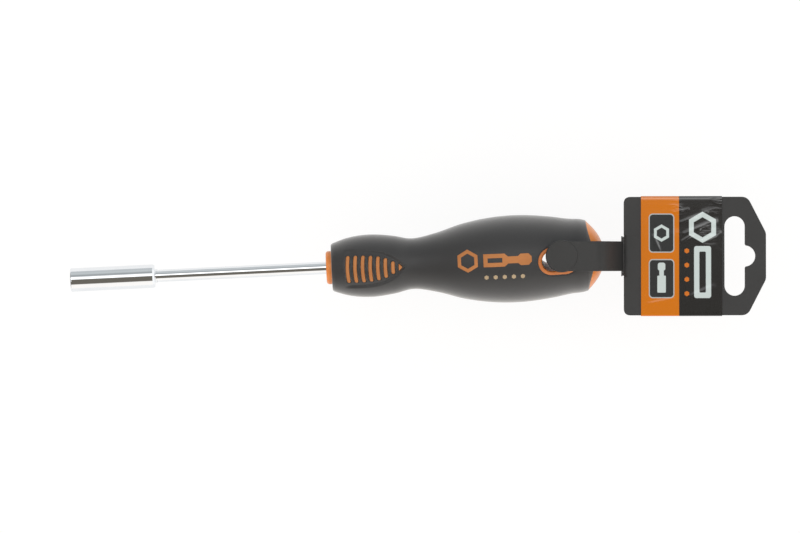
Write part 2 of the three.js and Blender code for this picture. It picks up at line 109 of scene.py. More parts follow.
# Thumb pads and their ribs
PAD_AT = 7.4
PAD_LENGTH = 24.6
PAD_WIDTH = 15.4
PAD_BLUNTNESS = 4
PAD_DEPTH = 0.7
PAD_EDGE = (-0.15, 0.9)
PAD_FADE = (-0.6, 3.0)
RIB_COUNT = 8
RIB_PITCH = 3.02
RIB_FIRST = 1.15
RIB_WIDTH = 1.4
RIB_MARGIN = 2.3
RIB_RISE = 0.35
RIB_BOW = 0.5
RIB_BOW_AT = 5.6
RIB_HEIGHT = 1.5
RIB_ROUNDING = 0.32
LAST_RIB_SHIFT = -0.2
LAST_RIB_R = 1.5
LAST_RIB_SQUASH = (0.68, 1.15)
LAST_SLOT_SHORTER = 0.15
LAST_SLOT_NARROWER = 0.2
SLOT_DEPTH = 0.75
SLOT_EDGE = (0.06, 0.36)

# Hanging eye
EYE_AT = 92.4
EYE_R = 4.0
EYE_HALF = 2.6
EYE_RIM = 1.5
EYE_SEAM = 0.05
EYE_DIP = 0.22
EYE_DIP_WIDTH = 0.55

# Past the handle on both sides, for a cut right through it
THROUGH = 40.0

# Hang tag, about the axis of its post
TAG_AT = (182.0, 0.1)
TAG_TURN = math.radians(-2.65)
POST_AT = 93.7
ARM_THICKNESS = 1.4
ARM_RUNNING_GAP = 0.3
ARM_FLAT = 13.0
ARM_END_X = 24.95
ARM_BEND = ((13.0, 0.0), (17.6, 0.0), (ARM_END_X - 3.6, 6.2), (ARM_END_X, -1.4))
ARM_REACH = 25.45
FRONT_DISC_R = 6.4
FRONT_DISC_RISE = 0.25
FRONT_HALF = 5.95
REAR_HALF = 4.0
REAR_BORE_R = 2.4
ROOT_HALF = 8.0
ROOT_LENGTH = 0.5
ROOT_HEIGHT = 1.0
HINGE_BEAD_R = 0.24
POST_R = 1.8
POST_TIP_R = 1.3
POST_TIP_LENGTH = 1.0
PLATE_LENGTH = 56.8
PLATE_HALF = 23.7
PLATE_CORNER_R = 2.7
PLATE_SLANT = (7.4, 14.4)
PLATE_SLANT_R = 4.0
EURO_SLOT_AT = 44.3
EURO_SLOT_R = 4.1
EURO_SLOT_HALF = 11.8
EURO_BUMP_R = 4.2
EURO_LIP_R = 0.9
LEAF_THICKNESS = 1.2
LEAF_NEAR = 0.05
LABEL_AT = 6.8
LABEL_LENGTH = 32.4
LABEL_HALF = (24.0, 1.55)
LABEL_FILM = 0.2

# How the driver and the tag lie, from the frames that they are drawn in
ON_DRIVER = Matrix.Rotation(TOOL_ROLL, 4, "X")
ON_TAG = Matrix.Translation((*TAG_AT, 0.0)) @ Matrix.Rotation(TAG_TURN, 4, "Z")


# Shader values as Python expressions
class Wire:
    """One output of a node. Arithmetic on it adds Math nodes to the same finish."""

    def __init__(self, finish, socket):
        self.finish = finish
        self.socket = socket

    def maths(self, operation, *values):
        sockets = dict(enumerate(values))
        return self.finish.node("ShaderNodeMath", {"operation": operation}, sockets)

    def __add__(self, other):
        return self.maths("ADD", self, other)

    __radd__ = __add__

    def __sub__(self, other):
        return self.maths("SUBTRACT", self, other)

    def __rsub__(self, other):
        return self.maths("SUBTRACT", other, self)

    def __mul__(self, other):
        return self.maths("MULTIPLY", self, other)

    __rmul__ = __mul__

    def __truediv__(self, other):
        return self.maths("DIVIDE", self, other)

    def __pow__(self, other):
        return self.maths("POWER", self, other)

    def __abs__(self):
        return self.maths("ABSOLUTE", self)

    def least(self, other):
        return self.maths("MINIMUM", self, other)

    def most(self, other):
        return self.maths("MAXIMUM", self, other)

    def above(self, limit):
        return self.maths("GREATER_THAN", self, limit)

    def eased(self, start, end):
        """0 before start, 1 after end, and smooth between them."""
        settings = {"interpolation_type": "SMOOTHSTEP"}
        sockets = {"Value": self, "From Min": start, "From Max": end}
        return self.finish.node("ShaderNodeMapRange", settings, sockets)


class Finish:
    """A node tree being wired, for a material or for the world."""

    def __init__(self, owner):
        owner.use_nodes = True
        self.tree = owner.node_tree
        self.tree.nodes.clear()

    def node(self, kind, settings=None, sockets=None, out=0):
        made = self.tree.nodes.new(kind)
        for key, value in (settings or {}).items():
            if key == "stops":
                ramp = made.color_ramp.elements
                while len(ramp) < len(value):
                    ramp.new(1.0)
                for stop, (place, light) in zip(ramp, value):
                    stop.position = place
                    stop.color = (*light, 1.0)
            else:
                setattr(made, key, value)
        for key, value in (sockets or {}).items():
            if isinstance(value, Wire):
                self.tree.links.new(value.socket, made.inputs[key])
            else:
                made.inputs[key].default_value = value
        return Wire(self, made.outputs[out])

    def place(self):
        """Object coordinates, in metres."""
        return self.node("ShaderNodeTexCoord", out="Object")

    def apart(self, vector):
        """The X, Y and Z of a vector."""
        outputs = self.node("ShaderNodeSeparateXYZ", None, {0: vector}).socket.node.outputs
        return [Wire(self, output) for output in outputs]

    def grain(self, scale, detail=2.0, roughness=0.5, place=None):
        """Noise with that many features in a metre."""
        sockets = {"Scale": scale, "Detail": detail, "Roughness": roughness}
        sockets["Vector"] = place or self.place()
        return self.node("ShaderNodeTexNoise", None, sockets)

    def mix(self, share, first, second):
        """A colour between two colours."""
        factor, colour_a, colour_b, colour_out = 0, 6, 7, 2
        sockets = {factor: share, colour_a: first, colour_b: second}
        return self.node("ShaderNodeMix", {"data_type": "RGBA"}, sockets, out=colour_out)

    def rays(self, kind):
        """1 for light rays of that kind and 0 for the others."""
        return self.node("ShaderNodeLightPath", out=kind)

    def bump(self, height, depth):
        """A normal from a height of 0 to 1, depth metres deep."""
        sockets = {"Height": height, "Distance": depth}
        return self.node("ShaderNodeBump", None, sockets, out="Normal")


def material(name, **sockets):
    """A Principled material, ready for wiring, with its plain sockets set."""
    made = bpy.data.materials.new(name)
    finish = Finish(made)
    finish.shader = finish.tree.nodes.new("ShaderNodeBsdfPrincipled")
    out = finish.tree.nodes.new("ShaderNodeOutputMaterial")
    finish.tree.links.new(finish.shader.outputs[0], out.inputs["Surface"])
    wired(finish, **sockets)
    return made, finish


def wired(finish, **sockets):
    """Sets or links sockets of a finish's shader, spelled with _ for a space."""
    for key, value in sockets.items():
        socket = finish.shader.inputs[key.replace("_", " ")]
        if isinstance(value, Wire):
            finish.tree.links.new(value.socket, socket)
        else:
            socket.default_value = value


def colour(red, green, blue):
    """A colour in 0 to 255 as the screen shows it, for a shader."""

    def linear(value):
        share = value / 255
        return share / 12.92 if share <= 0.04045 else ((share + 0.055) / 1.055) ** 2.4

    return (linear(red), linear(green), linear(blue), 1.0)


# Finishes
def chrome_finish():
    made, finish = material("bright_chrome", Metallic=1.0)
    haze = finish.grain(160, 4.0)
    smudge = finish.grain(900, 2.0)
    wired(
        finish,
        Base_Color=finish.mix(haze, colour(226, 229, 232), colour(238, 240, 242)),
        Roughness=0.035 + 0.05 * haze * smudge,
        Normal=finish.bump(finish.grain(420, 1.0), 2e-6),
    )
    return made


def spring_wire_finish():
    made, finish = material("spring_wire", Metallic=1.0)
    drawn = finish.grain(2500, 3.0)
    wired(
        finish,
        Base_Color=finish.mix(drawn, colour(150, 150, 150), colour(196, 194, 190)),
        Roughness=0.22 + 0.2 * drawn,
        Normal=finish.bump(drawn, 1e-5),
    )
    return made


def magnet_finish():
    made, finish = material("magnet_nickel", Metallic=1.0)
    scuff = finish.grain(1800, 4.0, 0.65)
    wired(
        finish,
        Base_Color=finish.mix(scuff, colour(176, 174, 166), colour(214, 212, 205)),
        Roughness=0.16 + 0.24 * scuff,
        Normal=finish.bump(scuff, 8e-6),
    )
    return made


def core_finish():
    made, finish = material("core_moulding")
    flow = finish.grain(120, 3.0)
    wired(
        finish,
        Base_Color=finish.mix(flow, colour(48, 48, 50), colour(66, 66, 68)),
        Roughness=0.5 + 0.16 * flow,
        Normal=finish.bump(finish.grain(3500, 2.0), 1.5e-5),
    )
    return made


def moulded_orange(name, dark, light, rough, texture, gloss):
    """Hard orange plastic, with faint flow marks and a fine moulded texture."""
    made, finish = material(name, Coat_Weight=gloss, Coat_Roughness=0.18)
    flow = finish.grain(90, 3.0, 0.6)
    fine = finish.grain(texture, 2.0)
    wired(
        finish,
        Base_Color=finish.mix(flow.eased(0.3, 0.7), colour(*dark), colour(*light)),
        Roughness=rough + 0.14 * fine,
        Normal=finish.bump(fine, 1.2e-5),
    )
    return made


def soft_grip_finish():
    made, finish = material(
        "soft_grip", Sheen_Weight=0.85, Sheen_Roughness=0.45, Specular_IOR_Level=0.4
    )
    skin = finish.grain(5200, 2.0, 0.6)
    cloud = finish.grain(70, 3.0)
    tone = 0.5 * cloud + 0.5 * skin
    wired(
        finish,
        Base_Color=finish.mix(tone, colour(36, 36, 37), colour(48, 48, 49)),
        Roughness=0.38 + 0.14 * skin,
        Normal=finish.bump(skin, 2.5e-5),
    )
    return made


def tag_plastic_finish():
    made, finish = material("tag_plastic", Specular_IOR_Level=0.36)
    skin = finish.grain(3800, 2.0, 0.55)
    flow = finish.grain(60, 2.0)
    wired(
        finish,
        Base_Color=finish.mix(0.6 * flow + 0.4 * skin, colour(40, 40, 40), colour(54, 54, 54)),
        Roughness=0.42 + 0.16 * skin,
        Normal=finish.bump(skin, 1.6e-5),
    )
    return made


def label_finish():
    """Glossy printed film: an orange and a black band with plain drive signs on its front."""
    made, finish = material("printed_film", IOR=1.75)
    lie_of_tag = {
        "Vector": finish.place(),
        "Location": (TAG_AT[0] * MM, TAG_AT[1] * MM, 0.0),
        "Rotation": (0.0, 0.0, TAG_TURN),
        "Scale": (MM, MM, MM),
    }
    on_tag = finish.node("ShaderNodeMapping", {"vector_type": "TEXTURE"}, lie_of_tag)
    x, y, z = finish.apart(on_tag)
    x = x - (ARM_REACH + LABEL_AT)
    front = z.above(0.0)
    soft, border = 0.12, 0.4
    band_x, plaque_x, dots_x, signs_x = 15.2, 8.2, 18.3, 24.6
    drive_y, bit_y, nut_y, bar_y = 9.2, -9.0, 11.5, -6.4
    half_x, half_y = 4.7, 7.4

    def tile(at_x, at_y, half_x, half_y, radius):
        across = (abs(x - at_x) - (half_x - radius)).most(0.0)
        along = (abs(y - at_y) - (half_y - radius)).most(0.0)
        return (across * across + along * along) ** 0.5 - radius

    def hexagon(at_x, at_y, half):
        across = abs(x - at_x)
        along = abs(y - at_y)
        return across.most(across * 0.5 + along * 0.866) - half

    def hollowed(outside, inside):
        return outside.most(-1.0 * inside)

    def printed(paper, distance, ink):
        return finish.mix((1.0 - distance.eased(-soft, soft)) * front, paper, ink)

    grain = finish.grain(2600, 2.0)
    orange = finish.mix(grain, colour(198, 108, 2), colour(206, 116, 10))
    black = finish.mix(grain, colour(28, 28, 28), colour(38, 38, 38))
    paper = finish.mix(x.eased(band_x - soft, band_x + soft), orange, black)
    for at_y in (drive_y, bit_y):
        outline = tile(plaque_x, at_y, half_x + border, half_y + border, 1.6)
        paper = printed(paper, outline, colour(176, 182, 184))
        paper = printed(paper, tile(plaque_x, at_y, half_x, half_y, 1.3), colour(44, 46, 48))

    pale = colour(196, 208, 208)
    drive = hollowed(hexagon(plaque_x, drive_y, 3.0), hexagon(plaque_x, drive_y, 1.9))
    shank = tile(plaque_x, bit_y - 2.2, 1.7, 3.4, 0.4)
    neck = tile(plaque_x, bit_y + 2.0, 0.9, 1.6, 0.2)
    blade = tile(plaque_x, bit_y + 4.8, 1.5, 1.6, 0.9)
    paper = printed(paper, drive.least(shank).least(neck).least(blade), pale)
    nut = hollowed(hexagon(signs_x, nut_y, 5.4), hexagon(signs_x, nut_y, 3.5))
    bar = hollowed(tile(signs_x, bar_y, 3.4, 10.4, 1.0), tile(signs_x, bar_y, 1.3, 8.2, 0.5))
    paper = printed(paper, nut.least(bar), pale)
    dots = hexagon(dots_x, -15.0, 0.9)
    for at_y in (-9.3, -3.6, 2.1):
        dots = dots.least(hexagon(dots_x, at_y, 0.9))
    paper = printed(paper, dots, colour(203, 112, 34))

    wired(
        finish,
        Base_Color=paper,
        Roughness=0.06 + 0.05 * grain,
        Normal=finish.bump(crinkles(finish, on_tag, x, y), 6e-5),
    )
    return made


def crinkles(finish, on_tag, x, y):
    """Height of the film's fine creases, which gather in the upper part of its dark band."""
    slant = {"Vector": on_tag, "Rotation": (0.0, 0.0, math.radians(24)), "Scale": (0.5, 2.6, 1.0)}
    along = finish.node("ShaderNodeMapping", None, slant)
    folds = finish.grain(0.16, 2.0, 0.5, along)
    ridge = (1.0 - abs(2.0 * folds - 1.0)) ** 4
    slack = finish.grain(0.09, 1.0, 0.5, on_tag)
    gathered = y.eased(-2.0, 12.0) * x.eased(9.0, 18.0) * slack.eased(0.46, 0.62)
    return ridge * (0.04 + 0.96 * gathered) + 0.5 * slack


# Mesh tools
def spaced(start, end, count):
    """Places at even steps from start to end, both included."""
    return [start + (end - start) * i / count for i in range(count + 1)]


def everything(bm):
    return bm.verts[:] + bm.edges[:] + bm.faces[:]


def turned(points, steps, axis="X"):
    """A shell from a line of [along, radius] points turned about X or Z."""
    bm = bmesh.new()
    corner = (lambda a, r: (a, 0.0, r)) if axis == "X" else (lambda a, r: (r, 0.0, a))
    verts = [bm.verts.new(corner(along, radius)) for along, radius in points]
    edges = [bm.edges.new(pair) for pair in zip(verts, verts[1:])]
    about = Vector((1, 0, 0)) if axis == "X" else Vector((0, 0, 1))
    bmesh.ops.spin(
        bm,
        geom=verts + edges,
        cent=(0, 0, 0),
        axis=about,
        angle=2 * math.pi,
        steps=steps,
        use_merge=True,
    )
    bmesh.ops.remove_doubles(bm, verts=bm.verts, dist=1e-4)
    bmesh.ops.recalc_face_normals(bm, faces=bm.faces)
    return bm


def block(size, at=(0, 0, 0)):
    """A box of that size about a point."""
    bm = bmesh.new()
    place = Matrix.Translation(at) @ Matrix.Diagonal((*size, 1.0))
    bmesh.ops.create_cube(bm, size=1.0, matrix=place)
    return bm


def prism(sides, radius, length, place):
    """A regular prism about Z, put in its place by a matrix."""
    bm = bmesh.new()
    bmesh.ops.create_cone(
        bm,
        cap_ends=True,
        segments=sides,
        radius1=radius,
        radius2=radius,
        depth=length,
        matrix=place,
    )
    return bm


def joined(*parts):
    """Several shells in one mesh."""
    whole = parts[0]
    for part in parts[1:]:
        mesh = bpy.data.meshes.new("part")
        part.to_mesh(mesh)
        part.free()
        whole.from_mesh(mesh)
        bpy.data.meshes.remove(mesh)
    return whole


def cut(bm, *cutters):
    """A closed mesh with the cutters' solids taken away."""
    held = []
    for part in (bm, *cutters):
        mesh = bpy.data.meshes.new("cut")
        part.to_mesh(mesh)
        part.free()
        held.append(bpy.data.objects.new("cut", mesh))
        bpy.context.scene.collection.objects.link(held[-1])
    for cutter in held[1:]:
        step = held[0].modifiers.new("cut", "BOOLEAN")
        step.operation = "DIFFERENCE"
        step.solver = "EXACT"
        step.object = cutter
    graph = bpy.context.evaluated_depsgraph_get()
    mesh = bpy.data.meshes.new_from_object(held[0].evaluated_get(graph))
    result = bmesh.new()
    result.from_mesh(mesh)
    bpy.data.meshes.remove(mesh)
    for thing in held:
        mesh = thing.data
        bpy.data.objects.remove(thing)
        bpy.data.meshes.remove(mesh)
    return result


def raised(bm, faces, way):
    """Flat faces pushed along a way into a closed solid."""
    grown = bmesh.ops.extrude_face_region(bm, geom=faces)
    top = [item for item in grown["geom"] if isinstance(item, bmesh.types.BMVert)]
    bmesh.ops.translate(bm, verts=top, vec=way)
    bmesh.ops.recalc_face_normals(bm, faces=bm.faces)
    return bm


def pushed(outline, low, high):
    """A flat outline pushed up from one height to another."""
    bm = bmesh.new()
    face = bm.faces.new([bm.verts.new((x, y, low)) for x, y in outline])
    return raised(bm, [face], (0, 0, high - low))


def plate(half_outline, low, high):
    """A flat plate from the half of its outline on the +Y side, mirrored in Y."""
    bm = bmesh.new()
    bm.faces.new([bm.verts.new((x, y, low)) for x, y in half_outline])
    bmesh.ops.mirror(bm, geom=everything(bm), axis="Y", merge_dist=1e-4)
    bmesh.ops.remove_doubles(bm, verts=bm.verts, dist=1e-4)
    return raised(bm, bm.faces[:], (0, 0, high - low))


def level(edge):
    return abs(edge.verts[0].co.z - edge.verts[1].co.z) < 1e-6


def upright_edges(bm):
    return [edge for edge in bm.edges if not level(edge)]


def sharp_edges(bm):
    """The edges at which two faces meet at a marked angle."""
    least_radians = 1.0
    return [edge for edge in bm.edges if edge.calc_face_angle(0.0) > least_radians]


def bevelled(bm, edges, offset, segments=3):
    bmesh.ops.bevel(
        bm,
        geom=list(edges),
        offset=offset,
        offset_type="OFFSET",
        segments=segments,
        profile=0.5,
        affect="EDGES",
        material=-1,
        clamp_overlap=True,
    )


def rim_edges(bm):
    """The edges round the top and bottom of an upright-sided solid."""
    return [edge for edge in sharp_edges(bm) if level(edge)]


def top_edges(bm):
    """The edges round the top alone of one that stands astride z 0."""
    return [edge for edge in rim_edges(bm) if edge.verts[0].co.z > 0]


def sliced(bm, places, normal):
    """Cuts across the mesh at places along one of its axes, so that it can bend."""
    for place in places:
        at = Vector(normal) * place
        bmesh.ops.bisect_plane(bm, geom=everything(bm), plane_co=at, plane_no=normal, dist=1e-5)


def closed(bm):
    """Fills the holes that open edges leave."""
    bmesh.ops.holes_fill(bm, edges=[edge for edge in bm.edges if edge.is_boundary], sides=0)


def trimmed(bm, point, normal):
    """Takes away what lies past a plane and closes the cut."""
    bmesh.ops.bisect_plane(
        bm,
        geom=everything(bm),
        plane_co=point,
        plane_no=normal,
        dist=1e-5,
        clear_outer=True,
    )
    closed(bm)


def arc(centre_x, centre_y, radius, start, end, count):
    """Points along an arc, with angles in degrees."""
    angles = [math.radians(angle) for angle in spaced(start, end, count)]
    return [(centre_x + radius * math.cos(a), centre_y + radius * math.sin(a)) for a in angles]


def moved(bm, shift):
    """Gives every vertex a new place."""
    for vert in bm.verts:
        vert.co = shift(vert.co)
    return bm


def finished(name, bm, finish, body, nodes=(), sharp=38, true_flats=False):
    """Makes a mesh in millimetres a piece of the object, in metres, that lies as its body does.

    With true_flats, the normals at a rounded edge follow the larger face, so that flats stay flat.
    """
    lie = ON_DRIVER if body == "driver" else ON_TAG
    bmesh.ops.transform(bm, matrix=Matrix.Scale(MM, 4) @ lie, verts=bm.verts)
    bmesh.ops.recalc_face_normals(bm, faces=bm.faces)
    mesh = bpy.data.meshes.new(name)
    bm.to_mesh(mesh)
    bm.free()
    mesh.materials.append(finish)
    mesh.shade_smooth()
    mesh.set_sharp_from_angle(angle=math.radians(sharp))
    piece = bpy.data.objects.new(name, mesh)
    bpy.context.scene.collection.objects.link(piece)
    if true_flats:
        weighted = piece.modifiers.new("true_flats", "WEIGHTED_NORMAL")
        weighted.keep_sharp = True
    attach(piece, body)
    if nodes:
        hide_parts(*nodes)


# Shape of the handle
def slope_at(i):
    """Slope of the grip's radius at a station, 0 where it is at its thickest or thinnest."""

    def rise(j):
        return (GRIP_STATIONS[j + 1][1] - GRIP_STATIONS[j][1]) / 2

    def run(j):
        return GRIP_STATIONS[j + 1][0] - GRIP_STATIONS[j][0]

    last = len(GRIP_STATIONS) - 1
    if i == 0:
        return rise(0) / run(0)
    if i == last:
        return rise(last - 1) / run(last - 1)
    before = rise(i - 1) / run(i - 1)
    after = rise(i) / run(i)
    if before * after <= 0:
        return 0.0
    return (before * run(i) + after * run(i - 1)) / (run(i) + run(i - 1))


SLOPES = [slope_at(i) for i in range(len(GRIP_STATIONS))]


def grip_radius(at):
    """Radius of the grip at a distance behind the collar's front."""
    i = 0
    while i < len(GRIP_STATIONS) - 2 and at > GRIP_STATIONS[i + 1][0]:
        i += 1
    (x0, d0), (x1, d1) = GRIP_STATIONS[i], GRIP_STATIONS[i + 1]
    run = x1 - x0
    t = (at - x0) / run
    ease = t * t * (3 - 2 * t)
    bend = t * (1 - t) * (1 - t) * SLOPES[i] - t * t * (1 - t) * SLOPES[i + 1]
    return d0 / 2 + (d1 - d0) / 2 * ease + bend * run


RIM_R = grip_radius(GRIP_END) - PRESS_GAP


def under_skin(depth, start, end, count):
    """A line of [x, radius] points at a depth under the grip's surface."""
    return [(HANDLE_X + at, grip_radius(at) - depth) for at in spaced(start, end, count)]


def skin_z(at, y, depth=0.0):
    """Height of the grip's surface over a point of its plan, less a depth."""
    radius = grip_radius(at) - depth
    return math.sqrt(max(radius * radius - y * y, 0.0))


def smooth(value, start, end):
    """0 before start, 1 after end, and smooth between them."""
    t = min(max((value - start) / (end - start), 0.0), 1.0)
    return t * t * (3 - 2 * t)


def pad_half(behind):
    """Half the thumb pad's width at a distance behind its front."""
    share = min(max(behind / PAD_LENGTH, 0.0), 1.0)
    return PAD_WIDTH / 2 * (1 - share**PAD_BLUNTNESS)


def rib_place(i):
    """A rib's distance behind the collar's front, and half its length."""
    behind = RIB_FIRST + i * RIB_PITCH
    return PAD_AT + behind, max(pad_half(behind) - RIB_MARGIN, RIB_WIDTH)


def rib_bow(y):
    """How far a rib's line runs back at a distance from its middle."""
    return RIB_BOW * (y / RIB_BOW_AT) ** 2


def rib_distance(at, y):
    """Distance to the nearest rib's outline in plan, less than 0 inside it."""
    nearest = math.inf
    for i in range(RIB_COUNT):
        place, half = rib_place(i)
        radius = RIB_WIDTH / 2
        if i == RIB_COUNT - 1:
            place += LAST_RIB_SHIFT
            half -= LAST_SLOT_SHORTER
            radius -= LAST_SLOT_NARROWER
        across = abs(at - place - rib_bow(y))
        along = max(abs(y) - (half - radius), 0.0)
        nearest = min(nearest, math.hypot(across, along) - radius)
    return nearest


def stadium(grow, count):
    """Plan of the hanging eye, grown by an amount."""
    radius = EYE_R + grow
    right = arc(HANDLE_X + EYE_AT + EYE_HALF, 0.0, radius, -90, 90, count)
    left = arc(HANDLE_X + EYE_AT - EYE_HALF, 0.0, radius, 90, 270, count)
    return right + left


def eye_distance(at, y):
    """Distance in plan to the edge of the hanging eye."""
    along = max(abs(at - EYE_AT) - EYE_HALF, 0.0)
    return math.hypot(along, y) - EYE_R


# Pieces of the driver
def make_sleeve(finish):
    """The sleeve, with a hollowed rear end and a hex socket that opens to a round mouth."""
    taper_x = SLEEVE_END_X - SLEEVE_NECK - SLEEVE_TAPER
    edge_x = taper_x - SLEEVE_END_EDGE
    lip_r = SLEEVE_R - SLEEVE_END_DROP
    floor_x = MAGNET_LENGTH + PRESS_GAP
    bore_r = SHAFT_R + PRESS_GAP
    bore_x = SHAFT_START_X - PRESS_GAP
    land = 0.05
    socket_r = 3.5
    hollow = [
        (
            taper_x + SLEEVE_TAPER * (1 - math.cos(angle)),
            lip_r - (lip_r - SLEEVE_END_R) * math.sin(angle),
        )
        for angle in spaced(0.0, math.pi / 2, 16)
    ]
    lead_in = [
        (NOSE_X + LEAD_IN_DEPTH * share, MOUTH_R - LEAD_IN * share)
        for share in spaced(1.0, 0.0, 6)
    ]
    profile = [
        (floor_x, 0.0),
        (floor_x, socket_r),
        (RING_X + GROOVE_HALF, socket_r),
        (RING_X + GROOVE_HALF, GROOVE_R),
        (RING_X - GROOVE_HALF, GROOVE_R),
        (RING_X - GROOVE_HALF, socket_r),
        *lead_in,
        *arc(NOSE_X + NOSE_EDGE, SLEEVE_R - NOSE_EDGE, NOSE_EDGE, 180, 90, 9),
        (NOSE_X + NOSE_EDGE + 2 * land, SLEEVE_R),
        (edge_x - land, SLEEVE_R),
        (edge_x, SLEEVE_R),
        *hollow,
        (SLEEVE_END_X, bore_r + land),
        (SLEEVE_END_X, bore_r),
        (bore_x, bore_r),
        (bore_x, 0.0),
    ]
    bm = turned(profile, 96)
    near = 0.001
    for vert in bm.verts:
        x, y, z = vert.co
        radius = math.hypot(y, z)
        if x < floor_x + near and MAGNET_R / 2 < radius < MOUTH_R - near:
            turn = math.atan2(y, z) % (math.pi / 3) - math.pi / 6
            wanted = HEX_ACROSS_FLATS / 2 / math.cos(turn)
            if x < NOSE_X + LEAD_IN_DEPTH + near:
                wanted = max(wanted, radius)
            vert.co = (x, y * wanted / radius, z * wanted / radius)
    finished("bit_sleeve_turned", bm, finish, "driver", ["bit_sleeve"], 12, True)


def make_retaining_ring(finish):
    """The split spring ring in the socket's groove."""
    bm = bmesh.new()
    around = Matrix.Translation((RING_X, 0, RING_R)) @ Matrix.Rotation(math.pi / 2, 4, "X")
    made = bmesh.ops.create_circle(bm, segments=16, radius=RING_WIRE_R, matrix=around)
    start = Matrix.Rotation(RING_SPLIT / 2 - math.pi / 2, 3, "X")
    bmesh.ops.rotate(bm, verts=made["verts"], cent=(0, 0, 0), matrix=start)
    bmesh.ops.spin(
        bm,
        geom=bm.verts[:] + bm.edges[:],
        cent=(0, 0, 0),
        axis=(1, 0, 0),
        angle=2 * math.pi - RING_SPLIT,
        steps=64,
    )
    closed(bm)
    bmesh.ops.recalc_face_normals(bm, faces=bm.faces)
    bevelled(bm, sharp_edges(bm), 0.12)
    finished("retaining_ring_wire", bm, finish, "driver", ["retaining_ring"])


def make_magnet(finish):
    """The disc magnet at the bottom of the socket."""
    edge = 0.25
    front = arc(edge, MAGNET_R - edge, edge, 180, 90, 4)
    back = arc(MAGNET_LENGTH - edge, MAGNET_R - edge, edge, 90, 0, 4)
    bm = turned([(0.0, 0.0), *front, *back, (MAGNET_LENGTH, 0.0)], 72)
    finished("bit_magnet_disc", bm, finish, "driver", ["bit_magnet"], true_flats=True)


def make_shaft(finish):
    """The bar, with the wings of its tang inside the handle."""
    end_x = HANDLE_X + TANG_END
    bar = turned(
        [
            (SHAFT_START_X, 0.0),
            (SHAFT_START_X, SHAFT_R - SHAFT_CHAMFER),
            (SHAFT_START_X + SHAFT_CHAMFER, SHAFT_R),
            (end_x - TANG_CHAMFER, SHAFT_R),
            (end_x, SHAFT_R - TANG_CHAMFER),
            (end_x, 0.0),
        ],
        96,
    )
    wings = block(WING_SIZE, (HANDLE_X + WING_AT, 0, 0))
    bevelled(wings, wings.edges, 0.3, 2)
    bm = joined(bar, wings)
    finished("shaft_bar", bm, finish, "driver", ["shaft"], true_flats=True)


def dome_points(count):
    """The end dome, a blunt parabola that rises from the rear rim."""
    return [
        (HANDLE_X + GRIP_END + DOME_HEIGHT * (1 - share**DOME_BLUNTNESS), RIM_R * share)
        for share in spaced(1.0, 0.0, count)
    ]


def make_orange_moulding(finish):
    """The hard body: its collar in front, its dome at the rear, and the hollow round the core."""
    bore_r = SHAFT_R + PRESS_GAP
    bore_chamfer, seam, undercut = 0.3, 0.02, 0.12
    cavity_from = CORE_FRONT - PRESS_GAP
    cavity_to = CORE_END + PRESS_GAP
    cavity_depth = CORE_DEPTH - PRESS_GAP
    skin_from = COLLAR_LENGTH + GRIP_WALL
    skin_to = GRIP_END - GRIP_WALL
    profile = [
        (HANDLE_X + cavity_to, 0.0),
        *under_skin(cavity_depth, cavity_to, cavity_from, 36),
        (HANDLE_X + cavity_from, bore_r),
        (HANDLE_X + bore_chamfer, bore_r),
        (HANDLE_X, bore_r + bore_chamfer),
        *arc(HANDLE_X + COLLAR_EDGE, COLLAR_R - COLLAR_EDGE, COLLAR_EDGE, 180, 90, 9),
        (HANDLE_X + skin_from, COLLAR_R),
        *under_skin(GRIP_WALL, skin_from, skin_to, 48),
        (HANDLE_X + GRIP_END - seam, grip_radius(skin_to) - GRIP_WALL),
        (HANDLE_X + GRIP_END - seam, RIM_R - undercut),
        *dome_points(24),
    ]
    eye = pushed(stadium(EYE_RIM - EYE_SEAM, 24), -THROUGH, THROUGH)
    bm = cut(turned(profile, 144), eye)
    finished("orange_moulding", bm, finish, "driver", ["orange_body"])


def make_eye_lining(finish):
    """The orange tube through the hanging eye, with a rim that follows the grip."""
    section = [
        (EYE_RIM, 2.4),
        (EYE_RIM, 0.15),
        (EYE_RIM - 0.1, 0.02),
        (EYE_RIM - 0.3, -0.06),
        (0.75, -0.1),
        (0.36, -0.02),
        (0.16, 0.12),
        (0.04, 0.34),
        (0.0, 0.65),
        (0.0, 3.0),
    ]
    bm = bmesh.new()
    loops = []
    rows = [(grow, depth, 1) for grow, depth in section]
    rows += [(grow, depth, -1) for grow, depth in reversed(section)]
    for grow, depth, side in rows:
        verts = [
            bm.verts.new((x, y, side * skin_z(x - HANDLE_X, y, depth)))
            for x, y in stadium(grow, 32)
        ]
        loops.append([bm.edges.new(pair) for pair in zip(verts, verts[1:] + verts[:1])])
    for first, second in zip(loops, loops[1:] + loops[:1]):
        bmesh.ops.bridge_loops(bm, edges=first + second)
    finished("eye_lining", bm, finish, "driver", ["orange_body"])


def long_rib(half):
    """A rib with round ends, flat as yet."""
    end_flat = 0.02
    rib = block((RIB_WIDTH, 2 * half, RIB_HEIGHT))
    bevelled(rib, upright_edges(rib), RIB_WIDTH / 2 - end_flat, 6)
    return rib


def last_rib():
    """The small three-sided rib in the pad's tip, flat as yet."""
    shift = Matrix.Translation((LAST_RIB_SHIFT, 0, 0))
    squash = Matrix.Diagonal((*LAST_RIB_SQUASH, 1.0, 1.0))
    point_back = Matrix.Rotation(-math.pi / 2, 4, "Z")
    rib = prism(3, LAST_RIB_R, RIB_HEIGHT, shift @ squash @ point_back)
    bevelled(rib, upright_edges(rib), 0.5, 4)
    return rib


